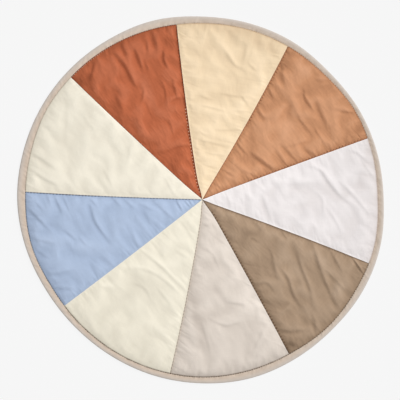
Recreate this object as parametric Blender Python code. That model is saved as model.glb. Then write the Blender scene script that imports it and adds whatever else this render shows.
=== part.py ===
"""A round quilted baby play mat: nine padded wedge panels inside a bias binding.

Units are metres and +Z is up. The mat lies face up with its flat underside on Z = 0, and the
middle of its box is the origin. Seen from above, +X is to the right and +Y to the back.
"""

import math

import bpy
import numpy as np
from mathutils.geometry import delaunay_2d_cdt

# The mat is laid out on a square of 400 steps, x counted to the right and y to the front.
MAT_DIAMETER = 1.0
DIAMETER_STEPS = 366.8
STEP = MAT_DIAMETER / DIAMETER_STEPS
WEDGE_POINT = (202.3, 199.6)

# Heights above the surface, and how far from a seam the padding takes to fill out.
CROWN_HEIGHT = 0.0115
SEAM_HEIGHT = 0.0042
FILL_OUT = 0.017
PIECE_GAP = 0.0003

# Spacing of the points that carry the shape, in metres, and of the box's test angles, in degrees.
RIM_STATIONS_PER_PANEL = 13
SIDE_SPACING = 0.021
INNER_ROWS = (0.006, 0.017)
FIELD_SPACING = 0.027
CREASE_SPACING = 0.014
CREASE_ROW = 1.4
CREASE_CLEAR = 0.0045
FIELD_CLEAR = 0.012
ROW_KEEP = 0.8
BOX_TURN = 0.5
SAME_PLACE = 1e-6

# The nine wedges, each with the seam on its clockwise side in degrees from +X and its sRGB colour.
PANELS = (
    # name, first seam, red, green, blue
    ("panel_caramel", 20.0, 205, 152, 114),
    ("panel_butter", 60.5, 240, 217, 183),
    ("panel_rust", 99.0, 188, 108, 74),
    ("panel_cream_upper", 137.5, 237, 230, 213),
    ("panel_blue", 177.8, 175, 191, 216),
    ("panel_cream_lower", 218.0, 234, 227, 209),
    ("panel_greige", 260.0, 219, 209, 199),
    ("panel_taupe", 299.5, 172, 148, 124),
    ("panel_white", 339.5, 234, 228, 228),
)
BINDING_COLOUR = (209, 195, 179)
CLOTH_ROUGHNESS = 0.9
SHARP_ANGLE = 50.0

# The binding's two edges, measured from the wedge point in steps, every 15 degrees from +X.
RIM_TURN = 15.0
RIM = (
    # inner edge, outer edge
    (175.7, 181.5),
    (176.3, 181.2),
    (176.8, 180.9),
    (175.0, 180.0),
    (175.8, 182.0),
    (176.4, 182.6),
    (176.6, 183.2),
    (177.8, 185.7),
    (179.0, 185.7),
    (179.7, 186.0),
    (180.0, 185.9),
    (178.0, 185.5),
    (177.2, 185.2),
    (177.0, 183.1),
    (174.4, 180.7),
    (174.7, 180.2),
    (175.7, 181.1),
    (176.8, 182.6),
    (177.8, 183.8),
    (177.6, 185.1),
    (178.3, 184.5),
    (179.5, 183.9),
    (178.9, 184.8),
    (178.4, 184.2),
)

# Cross-section of the binding, from the inner edge at the bottom round to the outer edge.
BINDING_SECTION = (
    # share of its width, height
    (0.00, 0.0),
    (0.00, 0.0042),
    (0.15, 0.0064),
    (0.42, 0.0080),
    (0.70, 0.0073),
    (0.90, 0.0052),
    (1.00, 0.0027),
    (0.96, 0.0006),
    (0.88, 0.0),
)

# The main creases, as soft troughs through points of the layout, in steps.
CREASES = (
    # depth, half width, points
    (0.0030, 0.0055, ((281, 63.6), (282, 76.5), (285.7, 89.4))),
    (0.0030, 0.0050, ((303.3, 87), (304.4, 97.6), (311.5, 109.4))),
    (0.0030, 0.0065, ((315.6, 98.8), (319.7, 111.7), (326.7, 127))),
    (0.0024, 0.0050, ((296.2, 115.2), (305.6, 128), (311.5, 135.2))),
    (0.0034, 0.0055, ((251.6, 154), (265.7, 164.5), (275, 171.5))),
    (0.0024, 0.0050, ((275, 149.3), (285.7, 164.5))),
    (0.0022, 0.0050, ((338.5, 110.5), (351.4, 113))),
    (0.0022, 0.0050, ((235.2, 142.2), (246.9, 155))),
    (0.0032, 0.0065, ((221, 47), (228, 56.6), (235, 66), (247, 71.8))),
    (0.0020, 0.0050, ((222, 94), (241, 97.6))),
    (0.0020, 0.0050, ((202, 105.8), (221, 110.5))),
    (0.0018, 0.0050, ((200, 140), (213, 143.4), (225.8, 147))),
    (0.0030, 0.0055, ((115.6, 54.8), (125, 66.8), (131, 78.8), (136, 88.4))),
    (0.0028, 0.0050, ((135.4, 51), (140.8, 66.8))),
    (0.0026, 0.0050, ((163.6, 47.6), (163.6, 59.6), (167, 68))),
    (0.0026, 0.0060, ((151.6, 32), (155, 44), (156.4, 53.6))),
    (0.0022, 0.0050, ((139.6, 83.6), (143, 92), (140.8, 102.8))),
    (0.0020, 0.0050, ((160, 80), (164.8, 90.8), (166, 104))),
    (0.0018, 0.0050, ((166, 152), (178, 147), (191, 144.8))),
    (0.0018, 0.0060, ((130, 147), (126.4, 164))),
    (0.0018, 0.0055, ((104.8, 172.4), (112, 186.8))),
    (0.0024, 0.0055, ((32.6, 154.5), (52, 166.7))),
    (0.0024, 0.0055, ((30, 168.3), (43, 178.6), (57.8, 185.5))),
    (0.0032, 0.0055, ((89.4, 204), (94.8, 222), (108, 241))),
    (0.0022, 0.0050, ((123.6, 199.8), (133.2, 208))),
    (0.0024, 0.0050, ((28.8, 209), (46.8, 228))),
    (0.0022, 0.0050, ((153.6, 202), (171.6, 218))),
    (0.0024, 0.0060, ((44.4, 270), (52.8, 274), (70.8, 271))),
    (0.0020, 0.0050, ((64.8, 231), (75.6, 240))),
    (0.0032, 0.0055, ((142.8, 252), (163, 268.8), (182.4, 289))),
    (0.0024, 0.0050, ((139, 268.8), (156, 274.8), (172.8, 288))),
    (0.0020, 0.0060, ((96, 286.8), (117.6, 289))),
    (0.0020, 0.0050, ((132, 283), (144, 288), (151, 301))),
    (0.0022, 0.0050, ((202, 247.6), (212, 254.5), (218, 267))),
    (0.0020, 0.0050, ((209, 318.7), (225, 325.6), (242, 322))),
    (0.0018, 0.0050, ((228, 302.6), (244, 305))),
    (0.0024, 0.0050, ((265, 245), (270.8, 253), (275.4, 275))),
    (0.0030, 0.0055, ((276.5, 263.7), (287, 278.6), (293.7, 297), (303, 309.5))),
    (0.0030, 0.0055, ((296, 253), (301.8, 270.5), (308.7, 287.7), (312, 303.8))),
    (0.0030, 0.0055, ((312, 244), (316.7, 260), (326, 285.4), (337.3, 308.4))),
    (0.0022, 0.0050, ((329, 248.8), (339.6, 269.4))),
    (0.0040, 0.0045, ((352.5, 258), (363, 274))),
    (0.0020, 0.0055, ((281, 330), (305, 330))),
    (0.0036, 0.0060, ((306.8, 165.5), (319, 170.3), (327.4, 181.3), (337, 193.4), (349, 204.3))),
    (0.0028, 0.0055, ((339.5, 182.5), (353, 195.8), (363.8, 209))),
    (0.0024, 0.0050, ((349, 151), (356.5, 153.3), (366, 161.8))),
    (0.0022, 0.0055, ((275, 183.7), (298, 184.5), (321, 183.7))),
    (0.0024, 0.0050, ((312.8, 191), (321.3, 199.5), (322.5, 212.8))),
    (0.0024, 0.0050, ((326, 208), (333.5, 219), (340.7, 232))),
    (0.0020, 0.0055, ((263, 199.5), (269, 217.7))),
)


def clear_scene():
    """Remove whatever the opened file holds."""
    for item in list(bpy.data.objects):
        bpy.data.objects.remove(item, do_unlink=True)


def rim_steps(angle, column):
    """Binding edge at an angle in degrees, in steps, by a smooth curve through the RIM rows."""
    place = (angle % 360.0) / RIM_TURN
    row = int(place)
    part = place - row
    before, start, end, after = (RIM[(row + shift) % len(RIM)][column] for shift in (-1, 0, 1, 2))
    slope_in = 0.5 * (end - before)
    slope_out = 0.5 * (after - start)
    return (
        (2 * part**3 - 3 * part**2 + 1) * start
        + (part**3 - 2 * part**2 + part) * slope_in
        + (3 * part**2 - 2 * part**3) * end
        + (part**3 - part**2) * slope_out
    )


def box_middle():
    """Middle of the mat's box, in metres from the wedge point."""
    turns = np.arange(0.0, 360.0, BOX_TURN)
    reach = np.array([rim_steps(turn, 1) for turn in turns]) * STEP
    across = reach * np.cos(np.radians(turns))
    along = reach * np.sin(np.radians(turns))
    return np.array([across.min() + across.max(), along.min() + along.max()]) / 2.0


MIDDLE = box_middle()
HUB = -MIDDLE


def from_layout(points):
    """Layout steps to metres in the mat's frame."""
    steps = np.array(points, dtype=float) - WEDGE_POINT
    return HUB + steps * (STEP, -STEP)


def ray(angle):
    """Unit vector at an angle in degrees."""
    return np.array([math.cos(math.radians(angle)), math.sin(math.radians(angle))])


def seam_after(index):
    """Angle of the seam on the anticlockwise side of a panel, above its first seam."""
    first = PANELS[index][1]
    second = PANELS[(index + 1) % len(PANELS)][1]
    return second if second > first else second + 360.0


def rim_turns(index):
    """Angles of the rim stations of one panel, both of its seams included."""
    return np.linspace(PANELS[index][1], seam_after(index), RIM_STATIONS_PER_PANEL + 1)


def panel_outline(index):
    """Corner, rim and side points of one panel, anticlockwise from the wedge point.

    The sides run half a gap inside their seams, and the rim a gap inside the binding.
    """
    turns = rim_turns(index)
    first, second = turns[0], turns[-1]
    half = math.radians(second - first) / 2.0
    tip = HUB + ray((first + second) / 2.0) * (PIECE_GAP / 2.0) / math.sin(half)
    rim = np.array([HUB + ray(turn) * (rim_steps(turn, 0) * STEP - PIECE_GAP) for turn in turns])
    rim[0] += ray(first + 90.0) * PIECE_GAP / 2.0
    rim[-1] += ray(second - 90.0) * PIECE_GAP / 2.0
    count = round(float(np.linalg.norm(rim[0] - tip)) / SIDE_SPACING)
    shares = np.linspace(0.0, 1.0, count + 1)[:, None]
    outward = tip + (rim[0] - tip) * shares
    inward = rim[-1] + (tip - rim[-1]) * shares
    return np.vstack([outward[:-1], rim[:-1], inward[:-1]])


def edge_distances(index, points):
    """Distance of points inside a panel from its two seams and from its rim."""
    away = points - HUB
    first = ray(PANELS[index][1])
    second = ray(seam_after(index))
    from_first = first[0] * away[:, 1] - first[1] * away[:, 0]
    from_second = away[:, 0] * second[1] - away[:, 1] * second[0]
    reach = np.hypot(away[:, 0], away[:, 1])
    turns = np.degrees(np.arctan2(away[:, 1], away[:, 0]))
    edge = np.array([rim_steps(turn, 0) for turn in turns]) * STEP
    return np.array([from_first, from_second, edge - reach])


def line_distances(points, line):
    """Shortest distance from each point to a line of several points."""
    best = np.full(len(points), np.inf)
    for start, end in zip(line[:-1], line[1:]):
        run = end - start
        share = np.clip((points - start) @ run / (run @ run), 0.0, 1.0)
        gap = points - start - share[:, None] * run
        best = np.minimum(best, np.hypot(gap[:, 0], gap[:, 1]))
    return best


def panel_height(index, points):
    """Top of a panel: the seam height, plus padding that fills out away from the three edges
    as one minus an exponential, less a bell-shaped trough along each crease."""
    fill = np.prod(1.0 - np.exp(-np.maximum(edge_distances(index, points), 0.0) / FILL_OUT), axis=0)
    height = SEAM_HEIGHT + (CROWN_HEIGHT - SEAM_HEIGHT) * fill
    for depth, half_width, steps in CREASES:
        trough = np.exp(-((line_distances(points, from_layout(steps)) / half_width) ** 2))
        height -= depth * fill * trough
    return height


def crease_points():
    """Points along the bottom and both brinks of every crease."""
    found = []
    for _depth, half_width, steps in CREASES:
        line = from_layout(steps)
        for start, end in zip(line[:-1], line[1:]):
            run = end - start
            length = float(np.linalg.norm(run))
            side = np.array([-run[1], run[0]]) / length * half_width * CREASE_ROW
            shares = np.linspace(0.0, 1.0, max(1, round(length / CREASE_SPACING)) + 1)
            for share in shares:
                place = start + run * share
                found += [place, place + side, place - side]
    return np.array(found)


def inner_rows(outline, index):
    """Rows of points a set distance inside the outline, which carry the drawn-in edge."""
    ahead = np.roll(outline, -1, axis=0) - np.roll(outline, 1, axis=0)
    inward = np.stack([-ahead[:, 1], ahead[:, 0]], axis=1)
    inward /= np.hypot(inward[:, 0], inward[:, 1])[:, None]
    rows = []
    for distance in INNER_ROWS:
        row = outline + inward * distance
        rows.append(row[edge_distances(index, row).min(axis=0) > ROW_KEEP * distance])
    return np.vstack(rows)


def field_points(index, outline):
    """Points of an even triangular net that fill the middle of a panel."""
    low = outline.min(axis=0)
    high = outline.max(axis=0)
    row_height = FIELD_SPACING * math.sqrt(3.0) / 2.0
    found = []
    for row, place_y in enumerate(np.arange(low[1], high[1], row_height)):
        shift = FIELD_SPACING / 2.0 * (row % 2)
        found += [(place_x + shift, place_y) for place_x in np.arange(low[0], high[0], FIELD_SPACING)]
    net = np.array(found)
    return net[edge_distances(index, net).min(axis=0) > INNER_ROWS[-1] + FIELD_CLEAR]


def add_apart(kept, more, clearance):
    """Append the points that keep a clearance from all points before them."""
    for place in more:
        if np.hypot(*(kept - place).T).min() > clearance:
            kept = np.vstack([kept, place])
    return kept


def cloth_material(name, colour):
    """Matt cloth of one plain colour, given in sRGB."""
    linear = [((level / 255.0 + 0.055) / 1.055) ** 2.4 for level in colour]
    material = bpy.data.materials.new(name)
    material.use_nodes = True
    shader = material.node_tree.nodes["Principled BSDF"]
    shader.inputs["Base Color"].default_value = (*linear, 1.0)
    shader.inputs["Roughness"].default_value = CLOTH_ROUGHNESS
    shader.inputs["Metallic"].default_value = 0.0
    return material


def add_piece(name, vertices, faces, colour):
    """One closed body as an object of its own, smooth except along its hard edges."""
    mesh = bpy.data.meshes.new(name)
    mesh.from_pydata([tuple(map(float, vertex)) for vertex in vertices], [], faces)
    mesh.materials.append(cloth_material(name, colour))
    mesh.shade_smooth()
    mesh.set_sharp_from_angle(angle=math.radians(SHARP_ANGLE))
    piece = bpy.data.objects.new(name, mesh)
    bpy.context.scene.collection.objects.link(piece)
    return piece


def add_panel(index):
    """A padded wedge: a triangulated top over upright walls and one flat underside."""
    name, _first, *colour = PANELS[index]
    outline = panel_outline(index)
    creases = crease_points()
    creases = creases[edge_distances(index, creases).min(axis=0) > CREASE_CLEAR]
    points = add_apart(outline, creases, CREASE_CLEAR)
    points = add_apart(points, inner_rows(outline, index), CREASE_CLEAR)
    points = add_apart(points, field_points(index, outline), FIELD_CLEAR)
    loop = list(range(len(outline)))
    inside_only = 1
    flat, _edges, triangles, sources, *_ids = delaunay_2d_cdt(
        [tuple(point) for point in points.tolist()], [], [loop], inside_only, SAME_PLACE
    )
    top = np.array([tuple(point) for point in flat])
    height = panel_height(index, top)
    place_of = {source: place for place, group in enumerate(sources) for source in group}
    rim = [place_of[source] for source in loop]
    height[rim] = np.maximum(height[rim], SEAM_HEIGHT)
    vertices = np.vstack([np.column_stack([top, height]), np.column_stack([top[rim], np.zeros(len(rim))])])
    below = [len(top) + place for place in range(len(rim))]
    faces = [tuple(triangle) for triangle in triangles]
    faces.append(tuple(reversed(below)))
    for place, corner in enumerate(rim):
        following = (place + 1) % len(rim)
        faces.append((below[place], below[following], rim[following], corner))
    add_piece(name, vertices, faces, colour)


def add_binding():
    """The folded strip round the rim: its section carried through every rim station."""
    turns = np.concatenate([rim_turns(index)[:-1] for index in range(len(PANELS))])
    section = len(BINDING_SECTION)
    vertices = []
    for turn in turns:
        inner = rim_steps(turn, 0) * STEP
        width = rim_steps(turn, 1) * STEP - inner
        for share, height in BINDING_SECTION:
            vertices.append((*(HUB + ray(turn) * (inner + share * width)), height))
    faces = []
    for station in range(len(turns)):
        following = (station + 1) % len(turns)
        for corner in range(section):
            after = (corner + 1) % section
            here = station * section
            there = following * section
            faces.append((here + corner, here + after, there + after, there + corner))
    add_piece("binding", vertices, faces, BINDING_COLOUR)


clear_scene()
for panel in range(len(PANELS)):
    add_panel(panel)
add_binding()
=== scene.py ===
import math

import bpy
import numpy as np
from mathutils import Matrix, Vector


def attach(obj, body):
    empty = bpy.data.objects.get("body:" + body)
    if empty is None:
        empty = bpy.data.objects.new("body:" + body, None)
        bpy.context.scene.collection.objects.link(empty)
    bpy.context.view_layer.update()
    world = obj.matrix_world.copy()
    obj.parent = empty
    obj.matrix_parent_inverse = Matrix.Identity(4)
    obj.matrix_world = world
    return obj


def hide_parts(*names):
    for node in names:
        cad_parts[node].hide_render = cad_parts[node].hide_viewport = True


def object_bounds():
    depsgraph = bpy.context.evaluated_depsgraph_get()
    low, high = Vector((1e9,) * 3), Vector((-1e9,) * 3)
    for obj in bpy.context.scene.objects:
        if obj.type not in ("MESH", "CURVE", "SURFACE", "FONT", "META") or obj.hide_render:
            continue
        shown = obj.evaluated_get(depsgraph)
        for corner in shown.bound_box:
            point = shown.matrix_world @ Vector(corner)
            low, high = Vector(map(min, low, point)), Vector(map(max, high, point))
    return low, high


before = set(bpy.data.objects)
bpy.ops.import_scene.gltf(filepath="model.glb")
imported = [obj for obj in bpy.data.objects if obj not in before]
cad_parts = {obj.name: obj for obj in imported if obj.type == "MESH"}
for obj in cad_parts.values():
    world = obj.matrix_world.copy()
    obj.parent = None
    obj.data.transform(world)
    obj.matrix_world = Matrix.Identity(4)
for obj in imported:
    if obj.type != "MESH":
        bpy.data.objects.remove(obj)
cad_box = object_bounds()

# The patchwork: nine wedge panels of crinkled plain-weave cotton, each padded and of one plain colour.
# They are sewn edge to edge along nine seams that run from one point to the rim, and every seam draws
# the padding in. The layout square is 400 steps wide, x to the right and y to the front.
WEDGE_POINT = (202.3, 199.6)
RIM_TURN = 15.0
RIM = np.array([
    # inner edge, outer edge of the binding, in steps from the wedge point
    (175.7, 181.5), (176.3, 181.2), (176.8, 180.9), (175.0, 180.0), (175.8, 182.0), (176.4, 182.6),
    (176.6, 183.2), (177.8, 185.7), (179.0, 185.7), (179.7, 186.0), (180.0, 185.9), (178.0, 185.5),
    (177.2, 185.2), (177.0, 183.1), (174.4, 180.7), (174.7, 180.2), (175.7, 181.1), (176.8, 182.6),
    (177.8, 183.8), (177.6, 185.1), (177.6, 184.5), (179.0, 183.9), (178.4, 184.8), (178.4, 184.2),
])
PIECE_GAP = 0.00006
SEAM_HEIGHT = 0.0042
CROWN_HEIGHT = 0.0094
FILL_OUT = 0.020
GROOVE_DEPTH = 0.0013
GROOVE_REACH = 0.0010
HELD_REACH = 0.0025
RIM_RADIUS = 0.48
COLUMNS = 150
ROWS = 280
LIGHT_TURN = 35.0


def cubic_weights(part):
    """Weights of the four values round a place, which lies that part of the way from the second to the
    third, on a cubic whose slope at each value is half the difference of its neighbours."""
    return (
        -0.5 * part + part**2 - 0.5 * part**3,
        1.0 - 2.5 * part**2 + 1.5 * part**3,
        0.5 * part + 2.0 * part**2 - 1.5 * part**3,
        -0.5 * part**2 + 0.5 * part**3,
    )


def rim_steps(turns, column):
    """An edge of the binding in steps: the cubic through the rows of RIM."""
    place = np.mod(turns, 360.0) / RIM_TURN
    row = np.floor(place).astype(int)
    weights = enumerate(cubic_weights(place - row), -1)
    return sum(weight * RIM[(row + shift) % len(RIM), column] for shift, weight in weights)


ring_turns = np.arange(0.0, 360.0, 0.5)
ring_x = rim_steps(ring_turns, 1) * np.cos(np.radians(ring_turns))
ring_y = rim_steps(ring_turns, 1) * np.sin(np.radians(ring_turns))
STEP = (cad_box[1].x - cad_box[0].x) / (ring_x.max() - ring_x.min())
HUB = np.array([
    (cad_box[0].x + cad_box[1].x) / 2 - (ring_x.max() + ring_x.min()) / 2 * STEP,
    (cad_box[0].y + cad_box[1].y) / 2 - (ring_y.max() + ring_y.min()) / 2 * STEP,
])

SEAMS = (20.0, 60.5, 99.0, 137.5, 177.8, 218.0, 260.0, 299.5, 339.5)
# How far each seam strays anticlockwise from its straight line, in steps: near the wedge point, halfway
# and at the rim.
SEAM_STRAY = (
    (0.5, 0.9, 0.9), (0.7, -0.9, 1.0), (1.6, 1.2, -1.8), (0.9, 0.5, -1.1), (-0.2, 0.3, -0.9),
    (0.0, 0.0, -1.2), (1.2, 1.6, -1.5), (1.8, 1.2, -0.6), (-0.6, 0.3, -1.1),
)
SEAM_STEPS = 172.0
STRAY_START = 14.0
PANELS = (
    # name, record slot, sRGB colour, how crumpled
    ("caramel", "caramel_cotton", (204, 148, 110), 1.05),
    ("butter", "butter_cotton", (243, 219, 184), 0.62),
    ("rust", "rust_cotton", (187, 104, 70), 1.15),
    ("cream_upper", "cream_cotton", (238, 231, 214), 0.41),
    ("blue", "blue_cotton", (174, 190, 215), 0.50),
    ("cream_lower", "cream_cotton", (237, 230, 212), 0.36),
    ("greige", "greige_cotton", (221, 210, 199), 0.50),
    ("taupe", "taupe_cotton", (170, 145, 121), 0.92),
    ("white", "white_cotton", (236, 230, 229), 0.44),
)
CREASES = {
    # height and half width in millimetres, then the points that the dark side runs through
    "caramel": (
        (2.0, 4.0, (303.3, 87), (304.4, 97.6), (311.5, 109.4)),
        (2.2, 6.0, (315.6, 98.8), (319.7, 111.7), (326.7, 127)),
        (1.3, 4.0, (312.6, 125.8), (323.2, 143.4)),
        (1.3, 4.0, (296.2, 115.2), (305.6, 128), (311.5, 135.2)),
        (2.2, 6.0, (281, 63.6), (282, 76.5), (285.7, 89.4)), (1.2, 4.0, (269, 89.4), (274, 102.3)),
        (1.2, 4.0, (257.5, 110.5), (263.4, 118.7)), (1.0, 3.5, (248, 122), (252.8, 128)),
        (1.4, 4.0, (235.2, 142.2), (246.9, 155)), (2.6, 4.5, (251.6, 154), (265.7, 164.5), (275, 171.5)),
        (1.1, 3.5, (244.6, 171.5), (254, 176)), (1.1, 3.5, (221, 169), (233, 176)),
        (1.0, 3.5, (213, 182), (221, 189)), (1.3, 4.0, (275, 149.3), (285.7, 164.5)),
        (1.1, 4.0, (282, 145.7), (294, 158.6)), (1.2, 4.0, (289, 147), (304.4, 142)),
        (1.1, 4.0, (305.6, 150.4), (312.6, 154)), (2.0, 4.0, (338.5, 110.5), (351.4, 113)),
        (1.1, 4.0, (317, 81), (331, 80)), (1.6, 8.0, (258.7, 116.4), (275, 118.7), (289, 103.5)),
    ),
    "butter": (
        (2.2, 6.0, (221, 47), (228, 56.6), (235, 66), (247, 71.8)), (1.4, 4.5, (245.8, 48), (242.8, 61)),
        (1.2, 3.5, (249, 64.8), (254, 69.5)), (1.2, 3.5, (222, 94), (241, 97.6)),
        (1.1, 3.5, (242, 97.6), (247, 104.7)), (1.1, 3.5, (200, 96), (210.6, 100)),
        (1.3, 3.5, (202, 105.8), (221, 110.5)), (1.1, 3.5, (234, 111.7), (250.5, 111.7)),
        (1.2, 3.5, (217.6, 130.5), (236.4, 130.5)), (1.1, 3.0, (200, 132.8), (206, 136)),
        (1.2, 3.5, (200, 140), (213, 143.4), (225.8, 147)), (1.0, 3.0, (205, 153), (222, 156)),
        (1.0, 3.0, (203, 165), (214, 168)),
    ),
    "rust": (
        (2.2, 4.5, (115.6, 54.8), (125, 66.8), (131, 78.8), (136, 88.4)),
        (2.0, 4.0, (135.4, 51), (140.8, 66.8)), (1.3, 4.0, (139.6, 83.6), (143, 92), (140.8, 102.8)),
        (2.0, 4.0, (163.6, 47.6), (163.6, 59.6), (167, 68)), (1.2, 3.5, (146.8, 44), (147.4, 54.8)),
        (1.9, 6.0, (151.6, 32), (155, 44), (156.4, 53.6)), (1.2, 3.5, (144.4, 60.8), (148, 70.4)),
        (1.4, 4.0, (160, 80), (164.8, 90.8), (166, 104)), (1.4, 4.5, (94, 64.4), (90.4, 78.8)),
        (1.2, 4.0, (115.6, 96.8), (121.6, 108.8)), (1.2, 4.0, (168.4, 102.8), (175.6, 99), (184, 98)),
        (1.1, 3.5, (168.4, 120.8), (172, 131.6)), (1.2, 4.0, (166, 152), (178, 147), (191, 144.8)),
        (1.2, 4.0, (120, 44), (127, 56)), (1.1, 4.0, (172, 80), (176, 96)),
        (1.1, 4.0, (146, 104), (152, 118)),
    ),
    "cream_upper": (
        (1.2, 5.0, (130, 147), (126.4, 164)), (1.3, 4.5, (104.8, 172.4), (112, 186.8)),
        (1.2, 4.5, (163.6, 177), (173, 194)), (1.8, 5.0, (32.6, 154.5), (52, 166.7)),
        (1.8, 5.0, (30, 168.3), (43, 178.6), (57.8, 185.5)),
        (1.0, 7.0, (67.5, 105), (66, 126), (65, 147.5)),
    ),
    "blue": (
        (2.4, 4.5, (89.4, 204), (94.8, 222), (108, 241)), (1.3, 3.5, (112.8, 198.6), (118.8, 205)),
        (1.4, 4.0, (123.6, 199.8), (133.2, 208)), (1.2, 3.5, (90, 199), (96, 206)),
        (1.4, 3.5, (62.4, 196), (68.4, 210)), (1.4, 3.5, (54, 195.6), (61, 212)),
        (1.2, 3.5, (46.8, 195), (50, 205)), (1.2, 4.0, (34.8, 201.6), (42, 210)),
        (1.8, 4.0, (28.8, 209), (46.8, 228)), (1.4, 4.0, (153.6, 202), (171.6, 218)),
        (1.2, 4.0, (141.6, 205), (153.6, 211)), (3.4, 2.8, (176, 199.5), (178, 204), (182, 211)),
        (3.2, 2.4, (184, 200), (187, 204), (191, 208)), (3.0, 2.2, (188.6, 200), (192, 206)),
        (2.4, 2.0, (193, 199.5), (195.6, 203.4)), (1.2, 6.0, (144, 213.6), (151, 225.6)),
        (1.2, 4.0, (132, 234), (137.4, 247)), (1.2, 4.0, (79, 237.6), (86.4, 246)),
        (1.2, 4.0, (64.8, 231), (75.6, 240)), (1.2, 4.0, (32.4, 238.8), (52.8, 243.6)),
        (1.2, 4.0, (37, 250.8), (48, 258)), (1.5, 5.0, (44.4, 270), (52.8, 274), (70.8, 271)),
        (1.2, 4.5, (54, 288), (72, 289)),
    ),
    "cream_lower": (
        (2.2, 4.5, (142.8, 252), (163, 268.8), (182.4, 289)),
        (1.6, 4.5, (126, 270), (139, 268.8), (156, 274.8), (172.8, 288), (181, 297.6)),
        (1.2, 7.0, (96, 286.8), (117.6, 289)), (1.3, 4.5, (132, 283), (144, 288), (151, 301)),
        (1.2, 4.0, (158.4, 290), (168, 302)), (1.2, 4.0, (181, 222), (192, 237.6)),
        (1.2, 4.0, (176.4, 250.8), (188.4, 259)),
    ),
    "greige": (
        (1.4, 4.5, (202, 247.6), (212, 254.5), (218, 267)), (1.0, 3.5, (202, 224.7), (209, 225.8)),
        (1.2, 4.0, (228, 302.6), (244, 305)), (1.4, 4.5, (209, 318.7), (225, 325.6), (242, 322)),
        (1.2, 4.0, (202, 325.6), (209, 348.5)), (1.2, 4.0, (262.8, 331), (253.6, 349.7)),
    ),
    "taupe": (
        (1.5, 4.5, (265, 245), (270.8, 253), (275.4, 275)),
        (2.0, 4.5, (276.5, 263.7), (287, 278.6), (293.7, 297), (303, 309.5)),
        (2.0, 4.5, (296, 253), (301.8, 270.5), (308.7, 287.7), (312, 303.8)),
        (2.0, 4.5, (305, 239.6), (312, 244), (316.7, 260), (326, 285.4), (337.3, 308.4)),
        (1.3, 4.0, (326, 271.7), (343, 289)), (1.4, 4.0, (329, 248.8), (339.6, 269.4)),
        (3.0, 2.4, (350.5, 255), (357, 265), (364.5, 276)),
        (1.1, 3.5, (245.6, 245), (251, 238.4), (258, 242)), (1.1, 3.5, (282, 232.7), (287, 239.6)),
        (1.2, 4.0, (312, 315), (315.5, 329)), (1.4, 5.0, (281, 330), (293, 331.5), (305, 330)),
        (1.1, 4.0, (281, 310.7), (288, 305)), (1.2, 4.0, (257, 285.4), (266, 283), (273, 290)),
    ),
    "white": (
        (2.8, 5.0, (306.8, 165.5), (319, 170.3), (327.4, 181.3), (337, 193.4), (349, 204.3)),
        (1.8, 4.5, (339.5, 182.5), (353, 195.8), (363.8, 209), (371, 217.7)),
        (1.5, 4.0, (349, 151), (356.5, 153.3), (366, 161.8)), (1.4, 4.0, (361.4, 161.8), (372.3, 176.4)),
        (1.2, 7.0, (275, 183.7), (298, 184.4), (321, 183.7)),
        (1.5, 4.5, (312.8, 191), (321.3, 199.5), (322.5, 212.8)),
        (1.5, 4.5, (326, 208), (333.5, 219), (340.7, 232)), (1.2, 5.0, (263, 199.5), (269, 217.7)),
        (1.0, 4.0, (258, 186), (265.5, 193.4)), (1.0, 7.0, (285, 208), (304, 204)),
        (1.0, 3.5, (226.7, 195.8), (230, 205.5)), (0.9, 3.5, (240, 195.8), (242.5, 204)),
    ),
}
# How far each panel in turn sinks at its first seam, its second seam and the binding, as a share: the
# lighter cloth of a pair carries the folded allowances and stays high, the darker one rolls down to it.
EDGE_DROP = (
    (0.9, 0.8, 0.8), (0.35, 0.35, 0.8), (0.9, 0.9, 0.9), (0.35, 0.45, 0.8), (0.9, 0.6, 0.9),
    (0.35, 0.35, 0.8), (0.9, 0.35, 0.8), (0.9, 0.8, 0.9), (0.30, 0.30, 0.7),
)
MM = 0.001
LINE_PIECES = 6
# A crease runs on past its points by a share of its end stretches, fades over a share of its length,
# and has a wide bell and a narrow one, as shares of its half width.
CREASE_SCALE = 1.10
CREASE_LEAD = 0.45
CREASE_FADE = 0.45
CREASE_WIDE = 1.55
CREASE_NARROW = 0.55
CLOTH_GRAIN = -58.0
CRINKLE_HEIGHT = 0.00045
BILLOW_HEIGHT = 0.0009
# Short gathers that start at each seam and run across the cloth, and those along the binding.
GATHER_PITCH = 0.0052
GATHER_HEIGHT = 0.0011
GATHER_TURNS = (
    # the way that they run from each panel's first seam and from its second, in degrees
    (122.0, -52.0), (168.0, -18.0), (118.0, -48.0), (205.0, -72.0), (215.0, 130.0), (-48.0, 140.0),
    (-30.0, 155.0), (-15.0, 235.0), (105.0, -68.0),
)
GATHER_WIDTHS = (0.0013, 0.0030)
SHORT_GATHERS = (0.005, 0.016)
LONG_GATHERS = (0.025, 0.06)
SHORT_SHARE = 0.7
# The cloth simulation that gives the panels their soft folds: a sheet a little too large for its seams.
SHEET_PITCH = 0.0055
SHEET_EXCESS = 0.013
SHEET_FRAMES = 24
SHEET_BENDING = 8.0
FOLD_BLUR = 0.020
FOLD_SCALE = 0.9


def ray(angle):
    """Unit vector at an angle in degrees, or one for each of several angles."""
    turn = np.radians(angle)
    return np.stack([np.cos(turn), np.sin(turn)], axis=-1)


def from_layout(points):
    """Layout steps to metres: away from the wedge point, with y turned to the back."""
    return HUB + (np.array(points, dtype=float) - WEDGE_POINT) * (STEP, -STEP)


def seam_after(index):
    """Angle of the seam at the anticlockwise side of a panel, above its first seam."""
    second = SEAMS[(index + 1) % len(SEAMS)]
    return second if second > SEAMS[index] else second + 360.0


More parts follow.
